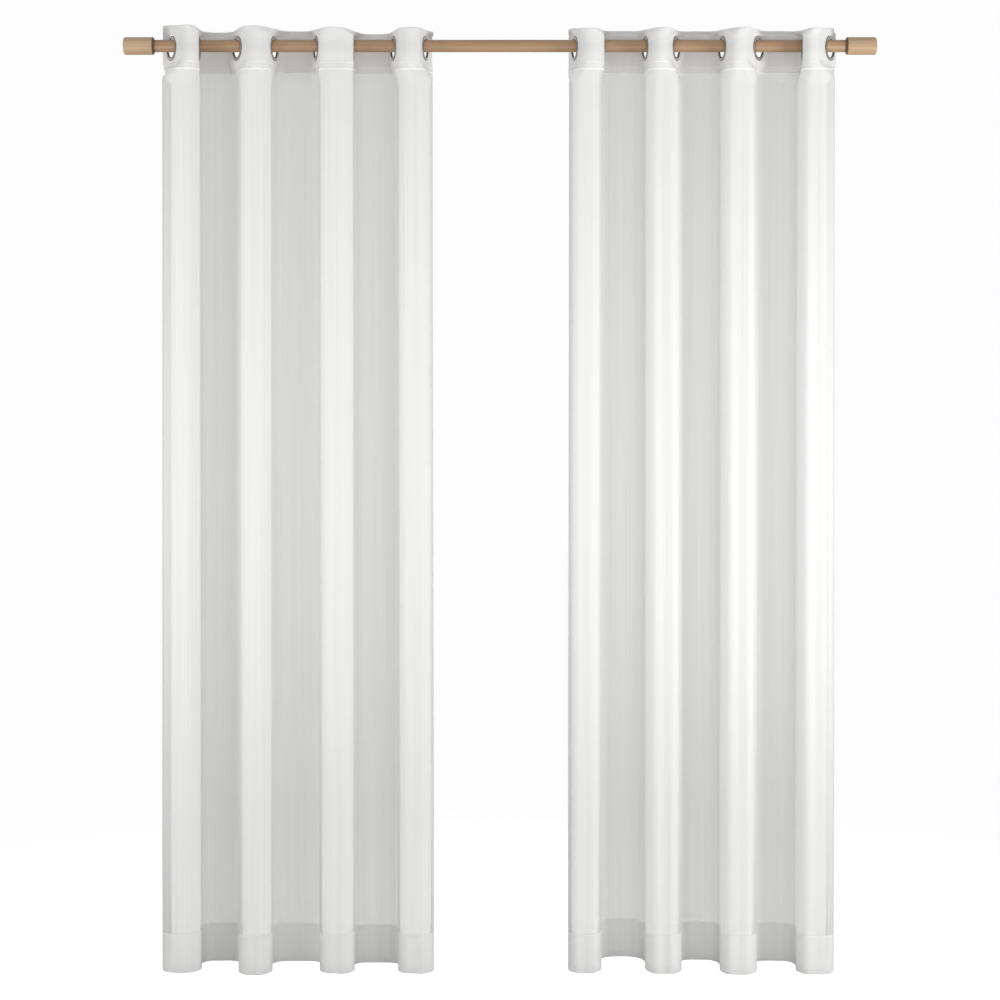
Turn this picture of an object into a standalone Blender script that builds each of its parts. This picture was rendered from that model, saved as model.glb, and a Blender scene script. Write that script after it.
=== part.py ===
# A pair of sheer voile eyelet curtains, hung in folds on one round wooden rod.
# Metres. X runs along the rod, -Y faces the room and Z is up. The origin is on the rod's axis,
# at the middle of its length.
import math

import bmesh
import bpy
import numpy as np

# Rod and end caps
ROD_RADIUS = 0.014
CAP_RADIUS = 0.020
CAP_LENGTH = 0.068
CAP_CHAMFER = 0.002
CAP_ROUNDING = 0.004
TOTAL_LENGTH = 1.708
ROUND_SIDES = 32

# Pieces that touch keep this gap, and shorter steps along the cloth count as none
FIT_GAP = 0.0003
TINY = 1e-7

# Eyelets: two flanges pressed together through the heading
EYELET_BORE_RADIUS = 0.0205
EYELET_NECK_RADIUS = 0.0226
EYELET_RIM_RADIUS = 0.028
EYELET_FLANGE = 0.0010
EYELET_EDGE = 0.0010
EYELET_SIDES = 20
HOLE_CLEARANCE = 0.0005

# Cloth as it is cut and sewn
EYELET_SPACING = 0.155
SIDE_MARGIN = 0.045
FLAT_HALF_WIDTH = 0.029
HEADING_ABOVE_EYELET = 0.0415
FREE_TOP = 0.013
HEADING_DEPTH = 0.093
DROP = 2.133
HEM_DEPTH = 0.088
HEADING_THICKNESS = 0.0014
PANEL_THICKNESS = 0.0010
SEAM_BELOW_EYELET = HEADING_DEPTH - HEADING_ABOVE_EYELET - FLAT_HALF_WIDTH

# Cloth as it hangs. The eyelets twist it, and it settles into its folds a little below them.
# A fold is two straight walls and two bends, with a level front between the bends.
SETTLED_WALL = 0.001
BEND_RADIUS = 0.030
LEAST_RADIUS = 0.001
BEND_STEPS = 16
MARGIN_STEPS = 8
SETTLE_DEPTH = 0.06
SETTLED_SHARE_OF_DRIFT = 0.85
PLUMB_REACH = 0.15
COLUMNS_ON_FOLD = 7
ROWS_BELOW_SEAM = (0.0, 0.012, 0.024, 0.0375, 0.25, 0.60, 1.00, 1.50)

# One row for each eyelet, from the left: its place along the rod, the angle in degrees that the
# cloth makes with the rod there, the same two of the settled fold's wall, and the angle that the
# cloth eases to at its free top edge.
EYELET_COLUMNS = ("x", "angle", "hem_x", "hem_angle", "top_angle")
EYELETS = {
    "left": (
        (-0.746, 58.0, -0.765, 98.0, 64.0),
        (-0.683, 95.5, -0.681, 104.0, 86.0),
        (-0.597, 60.0, -0.591, 97.0, 70.0),
        (-0.513, 78.0, -0.521, 105.0, 70.0),
        (-0.418, 73.5, -0.407, 97.0, 68.0),
        (-0.333, 94.0, -0.334, 104.0, 70.0),
        (-0.242, 73.6, -0.229, 98.0, 74.0),
        (-0.170, 77.6, -0.1525, 99.0, 78.0),
    ),
    "right": (
        (0.170, 77.0, 0.157, 98.0, 77.0),
        (0.234, 92.0, 0.226, 104.0, 78.0),
        (0.330, 79.0, 0.331, 97.0, 74.0),
        (0.400, 68.0, 0.409, 104.0, 74.0),
        (0.505, 77.0, 0.501, 97.0, 68.0),
        (0.587, 57.0, 0.580, 103.0, 70.0),
        (0.687, 96.6, 0.674, 97.0, 82.0),
        (0.749, 58.0, 0.756, 98.0, 64.0),
    ),
}

# One row for each fold, from the left, the first and last row being the two side edges: how much
# higher than the level line its top edge, its heading seam and its hem lie.
FOLD_COLUMNS = ("top_rise", "seam_rise", "hem_rise")
FOLDS = {
    "left": (
        (0.0145, 0.0080, 0.0000),
        (0.0010, -0.0020, -0.0006),
        (0.0024, 0.0000, 0.0020),
        (0.0000, -0.0020, -0.0045),
        (0.0050, 0.0010, 0.0052),
        (-0.0030, -0.0015, -0.0014),
        (-0.0014, -0.0020, -0.0008),
        (-0.0040, -0.0030, -0.0017),
        (0.0020, 0.0030, 0.0000),
    ),
    "right": (
        (0.0080, 0.0040, 0.0000),
        (-0.0060, -0.0030, 0.0000),
        (0.0052, 0.0000, 0.0135),
        (-0.0044, -0.0030, -0.0032),
        (0.0039, -0.0010, 0.0043),
        (-0.0033, -0.0025, -0.0049),
        (0.0046, 0.0000, 0.0022),
        (-0.0056, -0.0025, -0.0045),
        (0.0090, 0.0080, 0.0000),
    ),
}

# Direction in degrees of the last of the cloth beyond the outer eyelets, at the heading, at the
# hem and at the free top edge
EDGE_COLUMNS = ("first", "last", "hem_first", "hem_last", "top_first", "top_last")
EDGES = {
    "left": (46.0, 30.0, 104.0, 97.0, 47.0, 58.0),
    "right": (62.0, 112.0, 100.0, 96.0, 71.0, 73.0),
}

COLOURS = {
    "voile": ((0.93, 0.93, 0.92), 0.90, 0.0),
    "wood": ((0.62, 0.43, 0.28), 0.55, 0.0),
    "nickel": ((0.60, 0.60, 0.58), 0.32, 1.0),
}


def clear_scene():
    for item in list(bpy.data.objects):
        bpy.data.objects.remove(item, do_unlink=True)


def principled(name, look):
    colour, roughness, metallic = look
    material = bpy.data.materials.new(name)
    material.use_nodes = True
    shader = material.node_tree.nodes["Principled BSDF"]
    shader.inputs["Base Color"].default_value = (*colour, 1.0)
    shader.inputs["Roughness"].default_value = roughness
    shader.inputs["Metallic"].default_value = metallic
    return material


def add_object(name, mesh, look, parent):
    # Each piece has its own material, kept on the object, because the eyelets share one mesh
    item = bpy.data.objects.new(name, mesh)
    bpy.context.collection.objects.link(item)
    if not mesh.materials:
        mesh.materials.append(None)
    item.material_slots[0].link = "OBJECT"
    item.material_slots[0].material = principled(name + "_finish", COLOURS[look])
    item.parent = parent
    return item


def finished_mesh(name, points, faces):
    mesh = bpy.data.meshes.new(name)
    mesh.from_pydata([tuple(point) for point in points], [], faces)
    work = bmesh.new()
    work.from_mesh(mesh)
    bmesh.ops.recalc_face_normals(work, faces=work.faces)
    work.to_mesh(mesh)
    work.free()
    mesh.shade_smooth()
    mesh.set_sharp_from_angle(angle=math.radians(40.0))
    return mesh


def turned_mesh(name, profile, sides):
    # A profile of (place along X, radius) turned about X; both ends lie on the axis
    turn = np.arange(sides) * 2.0 * math.pi / sides
    points = [(profile[0][0], 0.0, 0.0)]
    for along, radius in profile[1:-1]:
        points += [(along, radius * math.sin(a), radius * math.cos(a)) for a in turn]
    points.append((profile[-1][0], 0.0, 0.0))
    rings = len(profile) - 2
    last = len(points) - 1
    faces = []
    for side in range(sides):
        after = (side + 1) % sides
        faces.append((0, 1 + side, 1 + after))
        for ring in range(rings - 1):
            low = 1 + ring * sides
            high = low + sides
            faces.append((low + side, high + side, high + after, low + after))
        faces.append((last, last - sides + after, last - sides + side))
    return finished_mesh(name, points, faces)


def cap_profile():
    # From the flat inner face, with its chamfer, to the rounded outer edge and flat end
    profile = [(0.0, 0.0), (0.0, CAP_RADIUS - CAP_CHAMFER), (CAP_CHAMFER, CAP_RADIUS)]
    for step in range(5):
        turn = step * math.pi / 8.0
        along = CAP_LENGTH - CAP_ROUNDING + CAP_ROUNDING * math.sin(turn)
        radius = CAP_RADIUS - CAP_ROUNDING + CAP_ROUNDING * math.cos(turn)
        profile.append((along, radius))
    profile.append((CAP_LENGTH, 0.0))
    return profile


def eyelet_mesh():
    # A closed spool section turned about Y: bore, front flange, neck and back flange
    outer = HEADING_THICKNESS / 2.0 + FIT_GAP + EYELET_FLANGE
    inner = HEADING_THICKNESS / 2.0 + FIT_GAP
    section = (
        (EYELET_BORE_RADIUS, -outer), (EYELET_BORE_RADIUS, outer),
        (EYELET_RIM_RADIUS - EYELET_EDGE, outer), (EYELET_RIM_RADIUS, inner),
        (EYELET_NECK_RADIUS, inner), (EYELET_NECK_RADIUS, -inner),
        (EYELET_RIM_RADIUS, -inner), (EYELET_RIM_RADIUS - EYELET_EDGE, -outer),
    )
    points = []
    faces = []
    size = len(section)
    for side in range(EYELET_SIDES):
        turn = side * 2.0 * math.pi / EYELET_SIDES
        points += [(r * math.cos(turn), y, r * math.sin(turn)) for r, y in section]
        after = (side + 1) % EYELET_SIDES
        for corner in range(size):
            beside = (corner + 1) % size
            faces.append((side * size + corner, side * size + beside,
                          after * size + beside, after * size + corner))
    return finished_mesh("eyelet", points, faces)


def eyelet_height(angles):
    # A ring hangs until its bore meets the rod. Cut along the ring, the rod is an ellipse,
    # wider the more the cloth slants; the highest safe centre of all rings is used for all.
    half = HEADING_THICKNESS / 2.0 + FIT_GAP + EYELET_FLANGE
    reach = EYELET_BORE_RADIUS * math.cos(math.pi / EYELET_SIDES) - FIT_GAP
    turn = np.linspace(0.0, math.pi / 2.0, 181)
    lowest = reach - ROD_RADIUS
    for angle in np.radians(angles):
        across = ROD_RADIUS * np.cos(turn) / math.sin(angle) + half / abs(math.tan(angle))
        room = np.sqrt(np.maximum(reach ** 2 - across ** 2, 0.0)) - ROD_RADIUS * np.sin(turn)
        lowest = min(lowest, room.min())
    return -lowest


def direction(angle, toward_room):
    # Unit step along the cloth, at an angle to the rod, toward the room or away from it
    side = -1.0 if toward_room else 1.0
    return np.array((math.cos(angle), side * math.sin(angle)))


def fold_line(start, first, end, last, held, toward_room):
    # Wall, bend, level front, bend and wall between two eyelets. Their lengths add up to the
    # cloth's and lead from start to end; all three are linear in the bends' radius, which is
    # the largest that leaves both walls their held length.
    ways = np.array(((1.0, 1.0, 1.0), (math.cos(first), math.cos(last), 1.0),
                     (math.sin(first), -math.sin(last), 0.0)))
    sums = (EYELET_SPACING, end - start, 0.0)
    bends = (first + last, math.sin(first) + math.sin(last), math.cos(last) - math.cos(first))
    straight = np.linalg.solve(ways, sums)
    loss = np.linalg.solve(ways, bends)
    spare = straight - np.array((held, held, 0.0))
    most = [room / used for room, used in zip(spare, loss) if used > TINY]
    radius = max(min([BEND_RADIUS] + most), LEAST_RADIUS)
    wall, _, front = straight - loss * radius
    points = [(0.0, 0.0)]
    x, depth = wall * math.cos(first), wall * math.sin(first)
    for step in range(BEND_STEPS):
        turn = first * (1.0 - step / (BEND_STEPS - 1))
        points.append((x + radius * (math.sin(first) - math.sin(turn)),
                       depth + radius * (math.cos(turn) - math.cos(first))))
    x, depth = points[-1][0] + front, points[-1][1]
    for step in range(BEND_STEPS):
        turn = last * step / (BEND_STEPS - 1)
        points.append((x + radius * math.sin(turn), depth - radius * (1.0 - math.cos(turn))))
    points.append((end - start, 0.0))
    side = -1.0 if toward_room else 1.0
    return np.array([(start + along, side * away) for along, away in points])


def margin(place, angle, edge_angle, wall):
    # From an outer eyelet outward and back: a straight run, then a bend to the side edge
    centre = np.array((place, 0.0))
    points = [centre, centre + direction(angle, False) * wall]
    for turn in np.linspace(angle, edge_angle, MARGIN_STEPS):
        step = direction(turn, False) * (SIDE_MARGIN - wall) / MARGIN_STEPS
        points.append(points[-1] + step)
    return np.array(points)


def ease(share):
    # A smooth step from 0 to 1
    share = np.clip(share, 0.0, 1.0)
    return share * share * (3.0 - 2.0 * share)


def between(start, end, share):
    return start + (end - start) * share


def section(side, depth, free=0.0):
    # The cloth's line seen from above at a depth below the eyelets' lowest point. Folds toward
    # the room and away from it take turns; the cloth between two eyelets keeps its length.
    # Above the eyelets, free goes from 0 to 1 at the top edge.
    settle = ease(depth / SETTLE_DEPTH)
    sway = ease(depth / DROP)
    drift = between(sway, settle, SETTLED_SHARE_OF_DRIFT)
    rows = [dict(zip(EYELET_COLUMNS, row)) for row in EYELETS[side]]
    edges = dict(zip(EDGE_COLUMNS, EDGES[side]))
    places = [between(row["x"], row["hem_x"], drift) for row in rows]
    angles = np.radians([between(between(row["angle"], row["hem_angle"], settle),
                                 row["top_angle"], free) for row in rows])
    held = between(FLAT_HALF_WIDTH * (1.0 - free), SETTLED_WALL, settle)
    first_edge = math.radians(between(between(edges["first"], edges["hem_first"], settle),
                                      edges["top_first"], free))
    last_edge = math.radians(between(between(edges["last"], edges["hem_last"], settle),
                                     edges["top_last"], free))

    mirror = np.array((-1.0, 1.0))
    line = [(margin(-places[0], angles[0], first_edge, held) * mirror)[::-1]]
    for fold in range(len(rows) - 1):
        line.append(fold_line(places[fold], angles[fold], places[fold + 1], angles[fold + 1],
                              held, fold % 2 == 0))
    line.append(margin(places[-1], angles[-1], last_edge, held))
    line = np.concatenate(line)
    keep = np.concatenate(([True], np.hypot(*np.diff(line, axis=0).T) > TINY))
    line = line[keep]
    run = np.concatenate(([0.0], np.cumsum(np.hypot(*np.diff(line, axis=0).T))))
    return run * flat_width() / run[-1], line


def plumb_edges(side, depth, run, x):
    # The panel keeps its full width while the folds settle: its outermost cloth moves sideways
    # until its reach is the straight line between the held and the settled reach.
    if not 0.0 < depth < SETTLE_DEPTH:
        return x
    held_x = section(side, 0.0)[1][:, 0]
    settled_x = section(side, SETTLE_DEPTH)[1][:, 0]
    share = depth / SETTLE_DEPTH
    near_first = ease(1.0 - run / PLUMB_REACH)
    near_last = ease(1.0 - (run[-1] - run) / PLUMB_REACH)
    x = x + (between(held_x.min(), settled_x.min(), share) - x.min()) * near_first
    return x + (between(held_x.max(), settled_x.max(), share) - x.max()) * near_last


def flat_width():
    return (len(EYELETS["left"]) - 1) * EYELET_SPACING + 2.0 * SIDE_MARGIN


def columns():
    # Places across the flat cloth: the side edges, both ends of each eyelet's flat, and steps
    # round each fold between them
    places = [0.0]
    for eyelet in range(len(EYELETS["left"])):
        centre = SIDE_MARGIN + eyelet * EYELET_SPACING
        places += [centre - FLAT_HALF_WIDTH, centre + FLAT_HALF_WIDTH]
        if eyelet < len(EYELETS["left"]) - 1:
            bend = EYELET_SPACING - 2.0 * FLAT_HALF_WIDTH
            steps = np.arange(1, COLUMNS_ON_FOLD) * bend / COLUMNS_ON_FOLD
            places += list(centre + FLAT_HALF_WIDTH + steps)
    places.append(flat_width())
    return np.array(places)


def rises(side, column, places):
    # A smooth line through the two side edges and the middle of each fold
    values = np.array(FOLDS[side])[:, FOLD_COLUMNS.index(column)]
    middles = SIDE_MARGIN + (np.arange(len(values) - 2) + 0.5) * EYELET_SPACING
    knots = np.concatenate(([0.0], middles, [flat_width()]))
    after = np.clip(np.searchsorted(knots, places), 1, len(knots) - 1)
    share = ease((places - knots[after - 1]) / (knots[after] - knots[after - 1]))
    return between(values[after - 1], values[after], share)


def cloth_row(side, depth, heights, places, free=0.0):
    # Points of the sheet's middle at one row, and the level direction square to it there
    run, line = section(side, depth, free)
    line[:, 0] = plumb_edges(side, depth, run, line[:, 0])
    x = np.interp(places, run, line[:, 0])
    y = np.interp(places, run, line[:, 1])
    reach = 0.001
    ahead = np.clip(places + reach, 0.0, run[-1])
    behind = np.clip(places - reach, 0.0, run[-1])
    along_x = np.interp(ahead, run, line[:, 0]) - np.interp(behind, run, line[:, 0])
    along_y = np.interp(ahead, run, line[:, 1]) - np.interp(behind, run, line[:, 1])
    size = np.hypot(along_x, along_y)
    points = np.stack((x, y, heights), axis=1)
    square = np.stack((along_y / size, -along_x / size, np.zeros_like(x)), axis=1)
    return points, square


def sheet_mesh(name, rows, thickness):
    # A closed sheet: a front grid, a back grid behind it, and a strip round the edge
    middle = np.array([row[0] for row in rows])
    square = np.array([row[1] for row in rows])
    points = np.concatenate((middle + square * thickness / 2.0, middle - square * thickness / 2.0))
    down, across = middle.shape[:2]
    index = np.arange(2 * down * across).reshape(2, down, across)
    faces = []
    for layer in index:
        quads = np.stack((layer[:-1, :-1], layer[:-1, 1:], layer[1:, 1:], layer[1:, :-1]), axis=-1)
        faces += quads.reshape(-1, 4).tolist()
    front, back = index
    for near, far in ((front[0], back[0]), (front[-1], back[-1]),
                      (front[:, 0], back[:, 0]), (front[:, -1], back[:, -1])):
        faces += np.stack((near[:-1], near[1:], far[1:], far[:-1]), axis=-1).tolist()
    return finished_mesh(name, points.reshape(-1, 3), faces)


def make_heading(side, eyelet_z, parent):
    # The band is straight up and down past its eyelets, hangs free of them in its top edge, and
    # starts to settle below them
    places = columns()
    top = eyelet_z + HEADING_ABOVE_EYELET + rises(side, "top_rise", places)
    high = np.full_like(places, eyelet_z + HEADING_ABOVE_EYELET - FREE_TOP)
    level = np.full_like(places, eyelet_z - FLAT_HALF_WIDTH)
    seam = eyelet_z + HEADING_ABOVE_EYELET - HEADING_DEPTH + rises(side, "seam_rise", places)
    rows = [cloth_row(side, 0.0, top, places, free=1.0), cloth_row(side, 0.0, high, places),
            cloth_row(side, 0.0, level, places),
            cloth_row(side, SEAM_BELOW_EYELET, seam, places)]
    name = "heading_" + side
    heading = add_object(name, sheet_mesh(name, rows, HEADING_THICKNESS), "voile", parent)
    cutter = make_hole_cutter(side, eyelet_z, parent)
    holes = heading.modifiers.new("eyelet_holes", "BOOLEAN")
    holes.operation = "DIFFERENCE"
    holes.solver = "EXACT"
    holes.object = cutter


def make_hole_cutter(side, eyelet_z, parent):
    # Eight short drums, square to the cloth, one at each eyelet
    radius = EYELET_NECK_RADIUS + HOLE_CLEARANCE
    turn = np.arange(EYELET_SIDES) * 2.0 * math.pi / EYELET_SIDES
    half = 5.0 * HEADING_THICKNESS
    points = []
    faces = []
    for number, row in enumerate(EYELETS[side]):
        along = direction(math.radians(row[1]), number % 2 == 0)
        base = len(points)
        for y in (-half, half):
            for a in turn:
                u = radius * math.cos(a)
                points.append((row[0] + along[0] * u - along[1] * y, along[1] * u + along[0] * y,
                               eyelet_z + radius * math.sin(a)))
        ring = list(range(base, base + EYELET_SIDES))
        faces += [ring, [corner + EYELET_SIDES for corner in ring]]
        for corner in range(EYELET_SIDES):
            after = (corner + 1) % EYELET_SIDES
            faces.append((ring[corner], ring[after], ring[after] + EYELET_SIDES,
                          ring[corner] + EYELET_SIDES))
    name = "cutter_" + side
    cutter = bpy.data.objects.new(name, finished_mesh(name, points, faces))
    bpy.context.collection.objects.link(cutter)
    cutter.hide_render = True
    cutter.display_type = "WIRE"
    cutter.parent = parent
    return cutter


def make_panel(side, eyelet_z, parent):
    # Rows from the heading seam, close together where the cloth settles, to the bottom hem
    places = columns()
    panel_drop = DROP - HEADING_DEPTH
    seam = eyelet_z + HEADING_ABOVE_EYELET - HEADING_DEPTH - FIT_GAP
    seam = seam + rises(side, "seam_rise", places)
    bottom = eyelet_z + HEADING_ABOVE_EYELET - DROP + rises(side, "hem_rise", places)
    rows = []
    for depth in ROWS_BELOW_SEAM + (panel_drop - HEM_DEPTH, panel_drop):
        heights = between(seam, bottom, depth / panel_drop)
        rows.append(cloth_row(side, SEAM_BELOW_EYELET + depth, heights, places))
    name = "panel_" + side
    add_object(name, sheet_mesh(name, rows, PANEL_THICKNESS), "voile", parent)


def make_eyelets(side, eyelet_z, mesh, parent):
    for number, row in enumerate(EYELETS[side]):
        name = "eyelet_{}_{}".format(side, number + 1)
        ring = add_object(name, mesh, "nickel", parent)
        along = direction(math.radians(row[1]), number % 2 == 0)
        ring.location = (row[0], 0.0, eyelet_z)
        ring.rotation_euler = (0.0, 0.0, math.atan2(along[1], along[0]))


def make_rod(parent):
    half = TOTAL_LENGTH / 2.0 - CAP_LENGTH - FIT_GAP
    profile = ((-half, 0.0), (-half, ROD_RADIUS), (half, ROD_RADIUS), (half, 0.0))
    add_object("rod", turned_mesh("rod", profile, ROUND_SIDES), "wood", parent)


def make_end_caps(parent):
    mesh = turned_mesh("end_cap", cap_profile(), ROUND_SIDES)
    inner = TOTAL_LENGTH / 2.0 - CAP_LENGTH
    right = add_object("end_cap_right", mesh, "wood", parent)
    right.location = (inner, 0.0, 0.0)
    left = add_object("end_cap_left", mesh, "wood", parent)
    left.location = (-inner, 0.0, 0.0)
    left.rotation_euler = (0.0, 0.0, math.pi)


def build():
    clear_scene()
    axis = bpy.data.objects.new("rod_axis", None)
    bpy.context.collection.objects.link(axis)
    slants = [row[1] for side in EYELETS for row in EYELETS[side]]
    eyelet_z = eyelet_height(slants)
    make_rod(axis)
    make_end_caps(axis)
    ring = eyelet_mesh()
    for side in EYELETS:
        make_heading(side, eyelet_z, axis)
        make_panel(side, eyelet_z, axis)
        make_eyelets(side, eyelet_z, ring, axis)


build()
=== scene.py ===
import math

import bpy
import numpy as np
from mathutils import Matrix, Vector


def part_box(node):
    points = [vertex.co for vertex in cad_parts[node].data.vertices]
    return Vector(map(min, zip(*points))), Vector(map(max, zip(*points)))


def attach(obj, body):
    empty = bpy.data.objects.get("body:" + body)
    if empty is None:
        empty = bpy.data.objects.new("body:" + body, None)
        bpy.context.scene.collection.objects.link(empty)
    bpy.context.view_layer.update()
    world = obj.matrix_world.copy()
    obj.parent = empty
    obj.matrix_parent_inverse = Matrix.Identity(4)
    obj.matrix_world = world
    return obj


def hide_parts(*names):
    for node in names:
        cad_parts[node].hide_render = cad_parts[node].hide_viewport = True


# A pair of sheer voile eyelet curtains on a wooden rod, in metres.
# X runs along the rod, -Y is toward the room, Z is up; the origin is the middle of the rod's axis.
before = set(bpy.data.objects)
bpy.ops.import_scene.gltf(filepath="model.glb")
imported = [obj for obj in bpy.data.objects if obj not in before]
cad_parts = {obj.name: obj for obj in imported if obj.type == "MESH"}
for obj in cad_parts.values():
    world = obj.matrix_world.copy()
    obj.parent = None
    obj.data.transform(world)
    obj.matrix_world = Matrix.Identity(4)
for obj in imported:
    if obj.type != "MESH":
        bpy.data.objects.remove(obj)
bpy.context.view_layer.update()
print("frame loaded:", len(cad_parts), "nodes")

sides = ("left", "right")
eyeletLow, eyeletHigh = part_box("eyelet_left_1")
eyeletHeight = (eyeletLow.z + eyeletHigh.z) / 2  # all the rings hang at one height


# ---- the cloth as it is cut, and how it hangs ----

cloth = {
    "eyeletSpacing": 0.155,      # between eyelets on the flat cloth
    "sideMargin": 0.045,         # from the outer eyelets to the side edges
    "flatHalfWidth": 0.029,      # the ring keeps this much of the cloth flat on each side
    "headingAbove": 0.0415,      # cloth above the eyelets' centres
    "headingDepth": 0.093,
    "drop": 2.133,               # from the top edge to the bottom edge
    "settledWall": 0.001,        # least straight wall of a settled fold
    "bendRadius": 0.030,         # of a fold's two bends, where the cloth is long enough
    "bendSteps": 16,
    "settleDepth": 0.06,         # the eyelets' twist has gone this far below them
    "settledShare": 0.85,        # share of the sideways drift that settles there
    "freeTop": 0.013,            # cloth above the rings, that hangs free of them
    "plumbReach": 0.15,          # the side edges are kept plumb by moving this much cloth
}
flatWidth = 7 * cloth["eyeletSpacing"] + 2 * cloth["sideMargin"]
levelDrop = cloth["headingAbove"] + cloth["flatHalfWidth"]  # lowest line of the eyelets

# a row for each eyelet: place along the rod, the cloth's angle to the rod in degrees, the same
# two where the folds have settled, and the angle at the free top edge
eyeletRows = {
    "left": np.array([
        (-0.746, 58.0, -0.765, 98.0, 64.0), (-0.683, 95.5, -0.681, 104.0, 86.0),
        (-0.597, 60.0, -0.591, 97.0, 70.0), (-0.513, 78.0, -0.521, 105.0, 70.0),
        (-0.418, 73.5, -0.407, 97.0, 68.0), (-0.333, 94.0, -0.334, 104.0, 70.0),
        (-0.242, 73.6, -0.229, 98.0, 74.0), (-0.170, 77.6, -0.1525, 99.0, 78.0)]),
    "right": np.array([
        (0.170, 77.0, 0.157, 98.0, 77.0), (0.234, 92.0, 0.226, 104.0, 78.0),
        (0.330, 79.0, 0.331, 97.0, 74.0), (0.400, 68.0, 0.409, 104.0, 74.0),
        (0.505, 77.0, 0.501, 97.0, 68.0), (0.587, 57.0, 0.580, 103.0, 70.0),
        (0.687, 96.6, 0.674, 97.0, 82.0), (0.749, 58.0, 0.756, 98.0, 64.0)]),
}
# a row for each fold and for the two side edges: how far its top edge, its heading seam and its
# bottom edge lie above level
foldRows = {
    "left": np.array([
        (0.0145, 0.0080, 0.0000), (0.0010, -0.0020, -0.0006), (0.0024, 0.0000, 0.0020),
        (0.0000, -0.0020, -0.0045), (0.0050, 0.0010, 0.0052), (-0.0030, -0.0015, -0.0014),
        (-0.0014, -0.0020, -0.0008), (-0.0040, -0.0030, -0.0017), (0.0020, 0.0030, 0.0000)]),
    "right": np.array([
        (0.0080, 0.0040, 0.0000), (-0.0060, -0.0030, 0.0000), (0.0052, 0.0000, 0.0135),
        (-0.0044, -0.0030, -0.0032), (0.0039, -0.0010, 0.0043), (-0.0033, -0.0025, -0.0049),
        (0.0046, 0.0000, 0.0022), (-0.0056, -0.0025, -0.0045), (0.0090, 0.0080, 0.0000)]),
}
# direction in degrees of the last cloth at the side edges: first and last at the heading, then
# at the hem, and then at the free top edge
edgeAngles = {"left": (46.0, 30.0, 104.0, 97.0, 47.0, 58.0),
              "right": (62.0, 112.0, 100.0, 96.0, 71.0, 73.0)}

# a row for each settled crease: place across the flat cloth, half width, height toward the
# room (a trough where negative), drop where it starts and ends, and its sideways lean
creaseRows = {
    "left": np.array([
        (0.118, 0.016, 0.0030, 0.10, 2.30, 0.010),
        (0.160, 0.010, -0.0018, 0.12, 1.50, -0.006),
        (0.268, 0.014, 0.0024, 0.30, 2.30, 0.004),
        (0.420, 0.012, -0.0020, 0.10, 1.90, 0.008),
        (0.452, 0.011, 0.0026, 0.20, 2.30, -0.008),
        (0.585, 0.015, 0.0022, 0.15, 2.30, 0.006),
        (0.730, 0.012, -0.0022, 0.10, 2.30, 0.006),
        (0.762, 0.012, 0.0024, 0.60, 2.30, 0.000),
        (0.900, 0.014, 0.0022, 0.12, 1.70, -0.005),
        (1.040, 0.012, -0.0022, 0.10, 2.30, 0.004),
        (1.075, 0.010, 0.0020, 0.40, 2.30, -0.004)]),
    "right": np.array([
        (0.112, 0.012, -0.0022, 0.10, 2.30, 0.005),
        (0.150, 0.012, 0.0024, 0.25, 2.30, -0.004),
        (0.275, 0.014, 0.0022, 0.12, 2.00, 0.004),
        (0.425, 0.012, -0.0024, 0.10, 2.30, 0.006),
        (0.460, 0.011, 0.0022, 0.35, 2.30, -0.006),
        (0.590, 0.014, 0.0020, 0.10, 2.30, 0.004),
        (0.735, 0.012, -0.0020, 0.12, 2.30, 0.004),
        (0.768, 0.012, 0.0026, 0.20, 1.80, -0.005),
        (0.905, 0.014, 0.0022, 0.12, 2.30, 0.005),
        (1.045, 0.012, -0.0024, 0.10, 2.30, 0.006),
        (1.082, 0.010, 0.0022, 0.50, 2.30, 0.000)]),
}
creaseFade = 0.22   # a crease comes and goes over this much of the drop


def ease(share):
    # a smooth step: 3 s^2 - 2 s^3 between 0 and 1
    share = np.clip(share, 0.0, 1.0)
    return share * share * (3 - 2 * share)


def between(start, end, share):
    return start + (end - start) * share


def stepAlong(angle, toRoom):
    # unit step along the cloth: cosine along the rod, sine toward the room or away from it
    way = -1.0 if toRoom else 1.0
    return np.stack((np.cos(angle), way * np.sin(angle)), axis=-1)


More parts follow.
